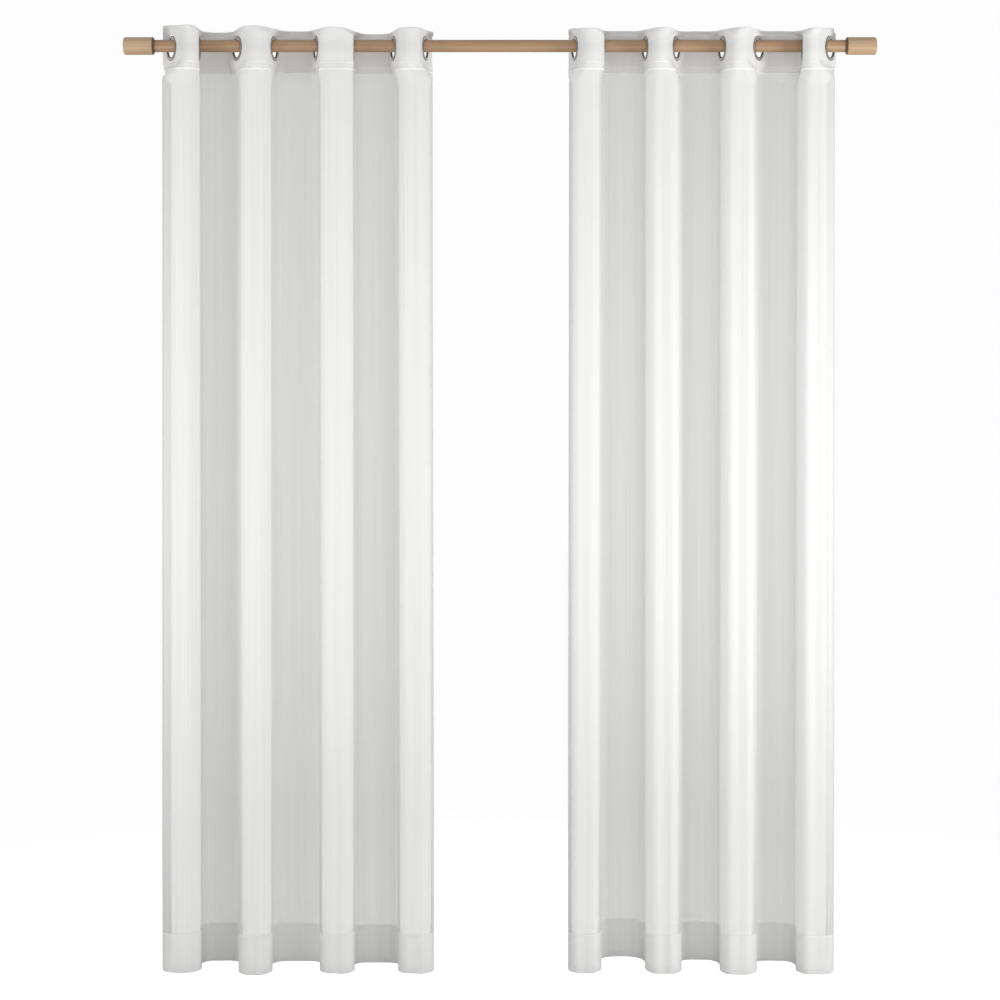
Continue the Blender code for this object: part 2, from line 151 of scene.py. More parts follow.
def foldLine(start, first, end, last, held, toRoom):
    # for each row the cloth between two eyelets, seen from above: a straight wall, a bend, a
    # level front, a bend and a wall. Their lengths add up to the cloth's, and lead from start
    # to end; all are linear in the bends' radius, which is the largest that leaves room for
    # both held walls
    turns = np.stack((0 * first + 1, 0 * first + 1, 0 * first + 1, np.cos(first), np.cos(last),
                      0 * first + 1, np.sin(first), -np.sin(last), 0 * first), axis=1)
    sums = np.stack((0 * first + cloth["eyeletSpacing"], end - start, 0 * first), axis=1)
    bends = np.stack((first + last, np.sin(first) + np.sin(last),
                      np.cos(last) - np.cos(first)), axis=1)
    straight, loss = np.moveaxis(np.linalg.solve(
        turns.reshape(-1, 3, 3), np.stack((sums, bends), axis=2)), 2, 0)
    spare = straight - np.stack((held, held, 0 * held), axis=1)
    most = np.where(loss > 1e-6, spare / np.maximum(loss, 1e-6), 1.0).min(axis=1)
    radius = np.clip(most, 0.001, cloth["bendRadius"])
    wall, farWall, front = (straight - loss * radius[:, None]).T
    share = np.linspace(0, 1, cloth["bendSteps"])
    turn, farTurn = first[:, None] * (1 - share), last[:, None] * share
    radius = radius[:, None]
    x = wall * np.cos(first)
    y = wall * np.sin(first)
    near = (x[:, None] + radius * (np.sin(first[:, None]) - np.sin(turn)),
            y[:, None] + radius * (np.cos(turn) - np.cos(first[:, None])))
    far = (near[0][:, -1:] + front[:, None] + radius * np.sin(farTurn),
           near[1][:, -1:] - radius * (1 - np.cos(farTurn)))
    across = np.concatenate((0 * radius, near[0], far[0], (end - start)[:, None]), axis=1)
    depth = np.concatenate((0 * radius, near[1], far[1], 0 * radius), axis=1)
    return np.stack((across + start[:, None], -depth if toRoom else depth), axis=-1)


def edgeRun(centre, angle, edgeAngle, wall):
    # outward from an outer eyelet, behind the rod: straight over the wall, then eight steps
    # that turn evenly to the side edge's own direction
    points = [centre, centre + stepAlong(angle, False) * wall[:, None]]
    step = (cloth["sideMargin"] - wall)[:, None] / 8
    for share in np.linspace(0, 1, 8):
        points.append(points[-1] + stepAlong(between(angle, edgeAngle, share), False) * step)
    return np.stack(points, axis=1)


def planLines(side, drops, across):
    # the cloth seen from above at each drop, as x and y over the flat width
    depth = drops - levelDrop
    settle = ease(depth / cloth["settleDepth"])
    drift = between(ease(depth / cloth["drop"]), settle, cloth["settledShare"])
    free = ease((cloth["freeTop"] - drops) / cloth["freeTop"])
    edges = np.radians(edgeAngles[side])
    places = [between(x, hemX, drift) for x, angle, hemX, hemAngle, topAngle in eyeletRows[side]]
    angles = [np.radians(between(between(angle, hemAngle, settle), topAngle, free))
              for x, angle, hemX, hemAngle, topAngle in eyeletRows[side]]
    held = between(cloth["flatHalfWidth"] * (1 - free), cloth["settledWall"], settle)
    centres = [np.stack((place, 0 * place), axis=1) for place in places]
    mirror = np.array((-1.0, 1.0))
    lastWays = [between(between(edges[i], edges[i + 2], settle), edges[i + 4], free)
                for i in range(2)]
    firstEdge = edgeRun(centres[0] * mirror, angles[0], lastWays[0], held)
    line = [(firstEdge * mirror)[:, ::-1]]
    for fold in range(7):
        line.append(foldLine(places[fold], angles[fold], places[fold + 1], angles[fold + 1], held,
                             fold % 2 == 0))
    line.append(edgeRun(centres[-1], angles[-1], lastWays[1], held))
    line = np.concatenate(line, axis=1)
    run = np.linalg.norm(np.diff(line, axis=1), axis=2).cumsum(axis=1)
    run = np.concatenate((np.zeros((len(run), 1)), run), axis=1)
    run *= flatWidth / run[:, -1:]
    plan = [(np.interp(across, r, p[:, 0]), np.interp(across, r, p[:, 1]))
            for r, p in zip(run, line)]
    return plumbEdges(np.moveaxis(np.array(plan), 1, 2), drops, across)


def plumbEdges(plan, drops, across):
    # the panel keeps its full width while the folds settle: each row's outermost cloth moves
    # sideways until its reach is the straight line between the held and the settled reach
    settled = levelDrop + cloth["settleDepth"]
    inside = (drops > levelDrop) & (drops < settled)
    for fromEdge, reach in ((across, plan[..., 0].min(axis=1)),
                            (flatWidth - across, plan[..., 0].max(axis=1))):
        wanted = np.interp(drops, drops[~inside], reach[~inside])
        share = ease(1.0 - fromEdge / cloth["plumbReach"])
        plan[..., 0] += (wanted - reach)[:, None] * share
    return plan


class HangingCloth:
    # one panel as a surface of two parameters: place across the flat cloth, and drop from the
    # top edge; a lift moves the point square to the cloth, toward the room
    def __init__(self, side):
        self.side = side
        self.across = np.linspace(0, flatWidth, 1 + round(flatWidth / 0.002))
        settled = levelDrop + cloth["settleDepth"]
        self.drops = np.concatenate(([-0.01], np.linspace(0, cloth["freeTop"], 12),
                                     np.linspace(levelDrop, settled, 46),
                                     np.linspace(settled + 0.02, cloth["drop"] + 0.01, 60)))
        self.plan = planLines(side, self.drops, self.across)
        middles = cloth["sideMargin"] + (np.arange(7) + 0.5) * cloth["eyeletSpacing"]
        self.knots = np.concatenate(([0.0], middles, [flatWidth]))

    def planPoint(self, across, drop):
        # bilinear between the stored lines
        column = np.clip(across, 0, flatWidth) / 0.002
        i = np.minimum(column.astype(int), len(self.across) - 2)
        j = np.clip(np.searchsorted(self.drops, drop) - 1, 0, len(self.drops) - 2)
        s = (column - i)[..., None]
        t = ((drop - self.drops[j]) / (self.drops[j + 1] - self.drops[j]))[..., None]
        upper = between(self.plan[j, i], self.plan[j, i + 1], s)
        lower = between(self.plan[j + 1, i], self.plan[j + 1, i + 1], s)
        return between(upper, lower, t)

    def rise(self, across, column):
        # a smooth step from each fold's value to the next one's
        values = foldRows[self.side][:, column]
        j = np.clip(np.searchsorted(self.knots, across), 1, len(self.knots) - 1)
        share = ease((across - self.knots[j - 1]) / (self.knots[j] - self.knots[j - 1]))
        return between(values[j - 1], values[j], share)

    def height(self, across, drop):
        # straight up and down between the top edge, the eyelets' lowest line, seam and hem
        top = eyeletHeight + cloth["headingAbove"]
        stops = (0.0, levelDrop, cloth["headingDepth"], cloth["drop"])
        heights = (top + self.rise(across, 0), top - levelDrop + 0 * across,
                   top - stops[2] + self.rise(across, 1), top - stops[3] + self.rise(across, 2))
        z = heights[0] + 0 * drop
        for k in range(3):
            share = (drop - stops[k]) / (stops[k + 1] - stops[k])
            z = np.where(drop > stops[k], between(heights[k], heights[k + 1], share), z)
        return z

    def crease(self, across, drop):
        # a sum of soft ridges: each is a bell curve across, and fades in and out down the cloth
        total = 0 * across * drop
        for place, width, lift, start, end, lean in creaseRows[self.side]:
            bell = np.exp(-((across - place - lean * drop / cloth["drop"]) / width) ** 2)
            total = total + lift * bell * ease((drop - start) / creaseFade) * ease(
                (end - drop) / creaseFade)
        return total

    def point(self, across, drop, lift=0.0):
        across, drop, lift = np.broadcast_arrays(across, drop, lift)
        step = 0.0015
        ahead = self.planPoint(np.minimum(across + step, flatWidth), drop)
        behind = self.planPoint(np.maximum(across - step, 0.0), drop)
        along = ahead - behind
        along /= np.linalg.norm(along, axis=-1, keepdims=True)
        plan = self.planPoint(across, drop)
        out = self.crease(across, drop) + lift
        return np.stack((plan[..., 0] + along[..., 1] * out, plan[..., 1] - along[..., 0] * out,
                         self.height(across, drop)), axis=-1)


# ---- meshes ----

def addPiece(name, points, quads, flat=None, slotName=None, finish=None, replaced=()):
    # points and quads go into a smooth mesh; flat holds each point's place on the flat
    # material, and becomes the piece's own map
    mesh = bpy.data.meshes.new(name)
    points, quads = np.reshape(points, (-1, 3)), np.reshape(quads, (-1, 4))
    mesh.vertices.add(len(points))
    mesh.vertices.foreach_set("co", points.ravel())
    mesh.loops.add(quads.size)
    mesh.loops.foreach_set("vertex_index", quads.ravel())
    mesh.polygons.add(len(quads))
    mesh.polygons.foreach_set("loop_start", np.arange(len(quads)) * 4)
    mesh.polygons.foreach_set("use_smooth", np.ones(len(quads), dtype=bool))
    if flat is not None:
        layer = mesh.uv_layers.new(name="flatPlace")
        layer.data.foreach_set("uv", np.reshape(flat, (-1, 2))[quads.ravel()].ravel())
    mesh.update(calc_edges=True)
    mesh.validate()
    piece = bpy.data.objects.new(name, mesh)
    bpy.context.scene.collection.objects.link(piece)
    if finish:
        mesh.materials.append(finish)
    if slotName:
        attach(piece, "root")
    if replaced:
        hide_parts(*replaced)
    return piece


def gridQuads(index):
    # the four corners of each cell of a grid of point numbers, down first and then across
    return np.stack((index[:-1, :-1], index[1:, :-1], index[1:, 1:], index[:-1, 1:]),
                    axis=-1).reshape(-1, 4)


def capQuads(ring):
    # a flat end: a ladder of quads across an even ring of point numbers
    half = len(ring) // 2
    k = np.arange(half - 1)
    return np.stack((ring[k], ring[k + 1], ring[len(ring) - 2 - k], ring[len(ring) - 1 - k]),
                    axis=-1)


def shell(middle, thickness):
    # a closed sheet: each grid point moved half the thickness both ways along the normal
    # (down times across), and a strip round the edge
    down, over = np.gradient(middle, axis=0), np.gradient(middle, axis=1)
    normal = np.cross(down, over)
    normal /= np.linalg.norm(normal, axis=-1, keepdims=True)
    points = np.stack((middle + normal * thickness / 2, middle - normal * thickness / 2))
    rows, columns = middle.shape[:2]
    front, back = np.arange(2 * rows * columns).reshape(2, rows, columns)
    strips = [(front[0, :-1], front[0, 1:], back[0, 1:], back[0, :-1]),
              (front[-1, 1:], front[-1, :-1], back[-1, :-1], back[-1, 1:]),
              (front[1:, 0], front[:-1, 0], back[:-1, 0], back[1:, 0]),
              (front[:-1, -1], front[1:, -1], back[1:, -1], back[:-1, -1])]
    quads = [gridQuads(front), gridQuads(back)[:, ::-1]]
    quads += [np.stack(strip, axis=-1) for strip in strips]
    return points, np.concatenate(quads)


def turned(profile, steps):
    # a closed ring or spindle: a profile of (place along the axis, radius) turned about X
    turn = np.arange(steps) * 2 * math.pi / steps
    along, radius = np.array(profile).T
    points = np.stack((along[:, None] + 0 * turn, radius[:, None] * np.sin(turn),
                       radius[:, None] * np.cos(turn)), axis=-1)
    return points


# ---- finishes ----

class Signal:
    # a shader socket that takes part in plain sums
    def __init__(self, finish, socket):
        self.finish, self.socket = finish, socket

    def maths(self, operation, first, second=0.0):
        return self.finish.node("ShaderNodeMath", {"operation": operation}, {0: first, 1: second})

    def __add__(self, other):
        return self.maths("ADD", self, other)

    def __sub__(self, other):
        return self.maths("SUBTRACT", self, other)

    def __rsub__(self, other):
        return self.maths("SUBTRACT", other, self)

    def __mul__(self, other):
        return self.maths("MULTIPLY", self, other)

    def __pow__(self, other):
        return self.maths("POWER", self, other)

    __radd__, __rmul__ = __add__, __mul__

    def sine(self):
        return self.maths("SINE", self)


class Finish:
    # a material made of one Principled shader, and the nodes that feed it
    def __init__(self, name, **constants):
        self.material = bpy.data.materials.new(name)
        self.material.use_nodes = True
        self.tree = self.material.node_tree
        self.shader = self.tree.nodes["Principled BSDF"]
        for socket, value in constants.items():
            self.shader.inputs[socket.replace("_", " ")].default_value = value

    def node(self, kind, settings, inputs, output=0):
        made = self.tree.nodes.new(kind)
        for name, value in settings.items():
            if name == "stops":
                self.setStops(made.color_ramp, value)
            else:
                setattr(made, name, value)
        for key, value in inputs.items():
            self.feed(made.inputs[key], value)
        return Signal(self, made.outputs[output])

    def feed(self, socket, value):
        if isinstance(value, Signal):
            self.tree.links.new(value.socket, socket)
        else:
            socket.default_value = value

    def setStops(self, ramp, stops):
        while len(ramp.elements) < len(stops):
            ramp.elements.new(0.5)
        for element, (place, value) in zip(ramp.elements, stops):
            element.position, element.color = place, (*value, 1.0)

    def flatPlace(self):
        return self.node("ShaderNodeUVMap", {"uv_map": "flatPlace"}, {})

    def objectPlace(self):
        return self.node("ShaderNodeTexCoord", {}, {}, "Object")

    def split(self, vector, part):
        return self.node("ShaderNodeSeparateXYZ", {}, {0: vector}, part)

    def noise(self, vector, scale, detail=2.0, roughness=0.5):
        # noise over a place that is first stretched by a scale for each axis
        stretched = self.node("ShaderNodeVectorMath", {"operation": "MULTIPLY"},
                              {0: vector, 1: scale})
        return self.node("ShaderNodeTexNoise", {},
                         {"Vector": stretched, "Scale": 1.0, "Detail": detail,
                          "Roughness": roughness})

    def span(self, value, low, high, toLow=0.0, toHigh=1.0):
        return self.node("ShaderNodeMapRange", {"interpolation_type": "SMOOTHSTEP"},
                         {"Value": value, "From Min": low, "From Max": high,
                          "To Min": toLow, "To Max": toHigh})

    def blendColours(self, share, first, second):
        return self.node("ShaderNodeMix", {"data_type": "RGBA"},
                         {0: share, 6: self.opaque(first), 7: self.opaque(second)}, 2)

    def opaque(self, colour):
        return colour if isinstance(colour, Signal) else (*colour, 1.0)

    def bump(self, height, distance, strength=1.0):
        return self.node("ShaderNodeBump", {}, {"Height": height, "Distance": distance,
                                                 "Strength": strength})

    def drive(self, **signals):
        for socket, value in signals.items():
            self.feed(self.shader.inputs[socket.replace("_", " ")], value)
        return self.material


panel = {
    "tuck": 0.004,          # goes up between the plies of the heading
    "thickness": 0.00022,
    "sideHem": 0.018, "sideHemGap": 0.0006,
    "hem": 0.088, "hemGap": 0.0014,
    "columns": 322, "rows": 92, "settleRows": 22, "hemRows": 9, "sideRows": 4, "roundSteps": 4,
}


voile = {
    "threadPitch": 0.00045,
    # the darker and the paler tone of one ply, of a hem or seam and of the heading; the last
    # two are painted paler than one ply, as painted light for the light between two plies
    "singleTones": ((0.775, 0.775, 0.766), (0.81, 0.81, 0.805)),
    "hemPaintedLightTones": ((0.95, 0.95, 0.942), (0.98, 0.98, 0.975)),
    "headingPaintedLightTones": ((0.855, 0.855, 0.848), (0.885, 0.885, 0.88)),
    "singleOpacity": 0.53,       # of each face of the thin sheet
    "doubledOpacity": 0.78,
    "roughness": 0.85,
    "sheen": 0.8,
}


def voileFinish(name, opacity, tones, hemPaintedLightTones=None):
    # plain weave as a product of two sines, uneven warp threads as noise drawn out downward,
    # and slubs as rare long lumps across; the side and bottom hems are painted in paler tones,
    # painted light that stands in for the light two plies scatter between them
    finish = Finish(name, Roughness=voile["roughness"], Sheen_Weight=voile["sheen"],
                    Sheen_Roughness=0.4, Specular_IOR_Level=0.2, Alpha=opacity)
    place = finish.flatPlace()
    u, v = finish.split(place, 0), finish.split(place, 1)
    wave = 2 * math.pi / voile["threadPitch"]
    weave = (u * wave).sine() * (v * wave).sine()
    warp = finish.noise(place, (420, 1.3, 1), 0.0)
    weft = finish.noise(place, (5.5, 800, 1), 0.0)
    slub = finish.span(weft, 0.62, 0.80)
    uneven = finish.span(warp + slub * 0.1, 0.3, 0.75)
    colour = finish.blendColours(uneven, *tones)
    # painted light: the hems get paler tones, for the light scattered between two plies
    if hemPaintedLightTones:
        hemPaintedLightColour = finish.blendColours(uneven, *hemPaintedLightTones)
        colour = finish.blendColours(hemPaintedLightShare(finish, u, v), colour, hemPaintedLightColour)
    height = weave * 0.25 + warp * 0.6
    return finish.drive(Base_Color=colour, Normal=finish.bump(height, 0.00010))


def hemPaintedLightShare(finish, u, v):
    # 1 in the side hems and the bottom hem, where the cloth is painted paler as painted light,
    # and 0 between them
    hem = cloth["drop"] - panel["hem"] - cloth["headingDepth"] + panel["tuck"]
    side, edge = 2 * panel["sideHem"] + panel["sideHemGap"], 0.0005
    far = flatWidth + 2 * panel["sideHem"] + 2 * panel["sideHemGap"] - side
    single = finish.span(u, side - edge, side + edge) * finish.span(
        u, far - edge, far + edge, 1.0, 0.0) * finish.span(v, hem - edge, hem + edge, 1.0, 0.0)
    return 1.0 - single


wood = {
    "rodLight": (0.47, 0.30, 0.18), "rodDark": (0.36, 0.22, 0.125),
    "capLight": (0.57, 0.405, 0.265), "capDark": (0.47, 0.32, 0.19),
    "roughness": 0.5,
    # the dark band at a cap's inner end: partly end grain, partly painted shade
    "endGrainAndShadeColour": (0.16, 0.09, 0.05), "edgeWidth": 0.0026,
}


def woodFinish(name, light, dark, edge=None):
    # straight grain: growth lines as bands of a warped distance from a far pith, with fine
    # pores as noise drawn out along the rod; up to an edge given along the rod, a dark band that
    # is partly darker end grain and partly painted shade
    finish = Finish(name, Specular_IOR_Level=0.4, Coat_Weight=0.08, Coat_Roughness=0.35)
    place = finish.objectPlace()
    drawn = finish.noise(place, (2.2, 40, 40), 3.0)
    y, z = finish.split(place, 1), finish.split(place, 2)
    band = ((y * 0.7 + z) * 900 + drawn * 9.0).sine() * 0.5 + 0.5
    pore = finish.noise(place, (24, 900, 900), 3.0, 0.6)
    tone = finish.noise(place, (1.6, 12, 12), 2.0)
    share = finish.span(band * 0.2 + pore * 0.55 + tone * 0.65, 0.35, 1.05)
    colour = finish.blendColours(share, light, dark)
    # painted shade at the cap's inner end, partly darker end grain: the dark colour up to the edge
    if edge:
        x = finish.split(place, 0)
        inside = edge + wood["edgeWidth"]
        cut = finish.span((x * x) ** 0.5, inside - 0.0003, inside + 0.0003)
        colour = finish.blendColours(cut, wood["endGrainAndShadeColour"], colour)
    rough = wood["roughness"] + 0.2 * (pore - 0.5)
    return finish.drive(Base_Color=colour, Roughness=rough,
                        Normal=finish.bump(pore * 0.7 + band * 0.3, 0.00015))


nickel = {"colour": (0.80, 0.79, 0.76), "paintedShadeColour": (0.15, 0.145, 0.14), "roughness": 0.30,
          "lightStart": 0.26, "lightEnd": 0.84, "fade": 0.06}


def nickelFinish(name):
    # satin metal: fine turning marks as noise drawn out round the ring, and painted shade in
    # the bore and at the rim, by the distance along the section
    finish = Finish(name, Metallic=1.0)
    place = finish.flatPlace()
    along = finish.split(place, 1)
    mark = finish.noise(place, (40, 2600, 1), 2.0, 0.6)
    smear = finish.noise(place, (60, 160, 1), 2.0)
    start, end, fade = nickel["lightStart"], nickel["lightEnd"], nickel["fade"]
    # painted shade: the darker colour in the bore below lightStart and at the rim past lightEnd
    clearOfPaintedShade = finish.span(along, start - fade, start + fade) - finish.span(
        along, end - fade, end + fade)
    light = clearOfPaintedShade * (finish.span(smear, 0.2, 0.7) * 0.5 + 0.5)
    colour = finish.blendColours(light, nickel["paintedShadeColour"], nickel["colour"])
    rough = nickel["roughness"] + 0.12 * (smear - 0.5) + 0.08 * (mark - 0.5)
    return finish.drive(Base_Color=colour, Roughness=rough, Normal=finish.bump(mark, 0.00003))


panelFinish = voileFinish("voileSingle", voile["singleOpacity"], voile["singleTones"],
                          voile["hemPaintedLightTones"])
# the heading and the seam are painted paler than one ply, painted light for the light between
# their plies
headingFinish = voileFinish("voileDoubledPaintedLight", voile["doubledOpacity"], voile["headingPaintedLightTones"])
seamFinish = voileFinish("voileFoldedPaintedLight", 1.0, voile["hemPaintedLightTones"])
rodFinish = woodFinish("rodWood", wood["rodLight"], wood["rodDark"])
capFinish = woodFinish("capWood", wood["capLight"], wood["capDark"],
                       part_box("end_cap_right")[0].x)
ringFinish = nickelFinish("satinNickel")
print("finishes made")


# ---- panels ----

def turnedEnd(end, width, gap, steps, roundSteps):
    # cloth that goes round a half circle at its end and back by a width, as the straight
    # place of each step and how far round the half circle it is
    base = end - gap / 2
    back = np.linspace(base, end - width, steps + 1)[1:]
    places = np.concatenate((np.full(roundSteps + 1, base), back))
    turns = np.concatenate((np.linspace(0, math.pi, roundSteps + 1), 0 * back + math.pi))
    return places, turns


def makePanel(side):
    # one sheet: down the panel, round the bottom edge and up behind it as the hem, and at each
    # side edge round and back as a side hem; a point goes round a half circle by the sine of
    # its turn along the cloth and by the cosine behind it, and an inner ply has the less radius
    place, turn = turnedEnd(flatWidth, panel["sideHem"], panel["sideHemGap"],
                            panel["sideRows"], panel["roundSteps"])
    radius = panel["sideHemGap"] / 2
    place, sideLift = place + radius * np.sin(turn), radius * (np.cos(turn) - 1)
    inner = np.linspace(radius, place[0], panel["columns"])[1:-1]
    across = np.concatenate((flatWidth - place[::-1], inner, place))
    sideLift = np.concatenate((sideLift[::-1], 0 * inner, sideLift))
    start = cloth["headingDepth"] - panel["tuck"]
    settled = levelDrop + cloth["settleDepth"] + 0.02
    base, hemTurn = turnedEnd(cloth["drop"], panel["hem"], panel["hemGap"], panel["hemRows"],
                              panel["roundSteps"])
    rows = np.concatenate((np.linspace(start, settled, panel["settleRows"])[:-1],
                           np.linspace(settled, base[0], panel["rows"])[:-1], base))
    hemTurn = np.concatenate((np.zeros(len(rows) - len(hemTurn)), hemTurn))[:, None]
    radius = panel["hemGap"] / 2
    drops = rows[:, None] + (radius + sideLift) * np.sin(hemTurn)
    lift = (radius + sideLift) * np.cos(hemTurn) - radius
    middle = hanging[side].point(across[None, :], drops, lift)
    points, quads = shell(middle, panel["thickness"])
    u, v = np.meshgrid(np.cumsum(np.abs(np.diff(across, prepend=across[0]))),
                       np.cumsum(np.abs(np.diff(rows, prepend=rows[0]))))
    flat = np.stack((u, v), axis=-1)
    name = "voilePanel" + side.capitalize()
    return addPiece(name, points, quads, np.stack((flat, flat)), "voile", panelFinish,
                    ("panel_" + side,))


# ---- headings ----

heading = {"thickness": 0.0012, "holeRadius": 0.0233, "rimSwell": 0.0004,
           "cellColumns": 42, "cellRows": 26, "rings": 15}


def cellGrid(centre, left, right):
    # rays from a round hole to the rectangle of cloth around its eyelet, as (place, drop)
    columns, rows = heading["cellColumns"], heading["cellRows"]
    over = np.arange(columns) / columns
    up = np.arange(rows) / rows
    depth = cloth["headingDepth"]
    top, bottom = np.zeros(columns), np.full(columns, depth)
    edge = np.concatenate((
        np.stack((between(left, right, over), bottom), axis=1),
        np.stack((np.full(rows, right), depth * (1 - up)), axis=1),
        np.stack((between(right, left, over), top), axis=1),
        np.stack((np.full(rows, left), depth * up), axis=1)))
    middle = np.array((centre, cloth["headingAbove"]))
    ray = edge - middle
    hole = middle + ray / np.linalg.norm(ray, axis=1, keepdims=True) * heading["holeRadius"]
    share = np.linspace(0, 1, heading["rings"]) ** 1.15
    return between(hole[None], edge[None], share[:, None, None])


def makeHeading(side):
    # eight such cells side by side with their shared edges joined, a front and a back ply, and
    # a soft rounded rim round the band and in each hole
    fabric = hanging[side]
    centres = cloth["sideMargin"] + np.arange(8) * cloth["eyeletSpacing"]
    borders = np.concatenate(([0.0], (centres[:-1] + centres[1:]) / 2, [flatWidth]))
    cells = np.array([cellGrid(c, l, r) for c, l, r in zip(centres, borders[:-1], borders[1:])])
    count = cells.shape[2]
    spots, number = np.unique(np.round(cells.reshape(-1, 2), 7), axis=0, return_inverse=True)
    number = number.reshape(cells.shape[:3])
    ring = np.concatenate((number, number[:, :, :1]), axis=2)
    quads = np.stack((ring[:, :-1, :-1], ring[:, 1:, :-1], ring[:, 1:, 1:], ring[:, :-1, 1:]),
                     axis=-1).reshape(-1, 4)
    total = len(spots)
    u, drop = spots[:, 0], spots[:, 1]
    half = heading["thickness"] / 2
    front, back = fabric.point(u, drop, half), fabric.point(u, drop, -half)

    # the edges that only one quad has are the rims, in the direction that the quads give them
    starts, ends = quads.ravel(), np.roll(quads, -1, axis=1).ravel()
    forward, reverse = starts * total + ends, ends * total + starts
    outerEdges = ~np.isin(forward, reverse)
    starts, ends = starts[outerEdges], ends[outerEdges]
    rim = np.unique(starts)
    spot = spots[rim]
    nearest = centres[np.abs(spot[:, :1] - centres).argmin(axis=1)]
    toHole = np.stack((nearest - spot[:, 0], cloth["headingAbove"] - spot[:, 1]), axis=1)
    inHole = np.linalg.norm(toHole, axis=1) < heading["holeRadius"] * 1.02
    outward = np.where(inHole[:, None], toHole, 0.0)
    outward[:, 1] += np.where(spot[:, 1] < 1e-6, -1.0, 0.0) * ~inHole
    outward[:, 1] += np.where(spot[:, 1] > cloth["headingDepth"] - 1e-6, 1.0, 0.0) * ~inHole
    size = np.maximum(np.linalg.norm(outward, axis=1, keepdims=True), 1e-9)
    swell = spot + outward / size * heading["rimSwell"]
    middle = fabric.point(np.clip(swell[:, 0], 0, flatWidth), spot[:, 1])
    middle[:, 2] -= swell[:, 1] - spot[:, 1]
    toRim = np.zeros(total, dtype=int)
    toRim[rim] = np.arange(len(rim)) + 2 * total
    strips = [np.stack((ends, starts, toRim[starts], toRim[ends]), axis=1),
              np.stack((toRim[ends], toRim[starts], starts + total, ends + total), axis=1)]
    allQuads = np.concatenate([quads, quads[:, ::-1] + total] + strips)
    points = np.concatenate((front, back, middle))
    flat = np.concatenate((spots, spots, spot))
    return addPiece("voileHeading" + side.capitalize(), points, allQuads, flat, "doubled_voile",
                    headingFinish, ("heading_" + side,))


# ---- the folded edge along the heading's seam ----

# the second, finer one is the upper edge of the turning inside the heading
seam = {"heights": (0.0036, 0.0011), "thicknesses": (0.0025, 0.0014), "above": (0.0, 0.0135),
        "steps": 480, "sides": 10}


def makeSeam(side):
    # oval beads of folded cloth: a small oval carried along the seam, closed at both ends
    turn = np.arange(seam["sides"]) * 2 * math.pi / seam["sides"]
    across = np.linspace(0.0008, flatWidth - 0.0008, seam["steps"])[:, None]
    points, quads, flat, count = [], [], [], 0
    for height, thickness, above in zip(seam["heights"], seam["thicknesses"], seam["above"]):
        drop = cloth["headingDepth"] - above + height / 2 * np.cos(turn)
        bead = hanging[side].point(across, drop, thickness / 2 * np.sin(turn))
        index = count + np.arange(bead[..., 0].size).reshape(bead.shape[:2])
        loop = np.concatenate((index, index[:, :1]), axis=1)
        points.append(bead.reshape(-1, 3))
        quads += [gridQuads(loop), capQuads(index[0]), capQuads(index[-1])[:, ::-1]]
        flat.append(np.stack(np.broadcast_arrays(across, drop), axis=-1).reshape(-1, 2))
        count += index.size
    return addPiece("headingSeam" + side.capitalize(), np.concatenate(points),
                    np.concatenate(quads), np.concatenate(flat), "doubled_voile", seamFinish)


# ---- stitches ----

stitching = {"pitch": 0.0034, "length": 0.0025, "threadRadius": 0.00014,
             "seamRows": (0.0025, 0.0125), "hemInset": 0.0025, "sideInset": 0.0022}


def stitchRow(fabric, start, end, liftFront, liftBack):
    # short threads along a line on the flat cloth: each is a four sided tube of four rings that
    # dips into the cloth at both ends, in turns before and behind
    start, end = np.array(start), np.array(end)
    length = np.linalg.norm(end - start)
    count = int(length / stitching["pitch"])
    way = (end - start) / length
    first = (np.arange(2 * count) * 0.5 + 0.1) * stitching["pitch"]
    share = np.array((0.0, 0.25, 0.75, 1.0))
    rise = np.array((0.0, 1.0, 1.0, 0.0))
    run = first[:, None] + share * stitching["length"]
    behind = (np.arange(2 * count) % 2 == 1)[:, None]
    radius = stitching["threadRadius"] * np.array((0.5, 1.0, 1.0, 0.5))
    lift = np.where(behind, liftBack - radius * rise, liftFront + radius * rise)
    turn = np.arange(4) * math.pi / 2
    side = radius[None, :, None] * np.cos(turn)
    lifts = lift[:, :, None] + radius[None, :, None] * np.sin(turn)
    across = start[0] + way[0] * run[:, :, None] - way[1] * side
    drop = start[1] + way[1] * run[:, :, None] + way[0] * side
    points = fabric.point(across, drop, lifts)
    flat = np.stack((across, drop), axis=-1)
    index = np.arange(points[..., 0].size).reshape(points.shape[:3])
    ring = np.concatenate((index, index[:, :, :1]), axis=2)
    quads = np.stack((ring[:, :-1, :-1], ring[:, 1:, :-1], ring[:, 1:, 1:], ring[:, :-1, 1:]),
                     axis=-1).reshape(-1, 4)
    ends = np.concatenate((index[:, 0], index[:, -1, ::-1]))
    return points.reshape(-1, 3), np.concatenate((quads, ends)), flat.reshape(-1, 2)


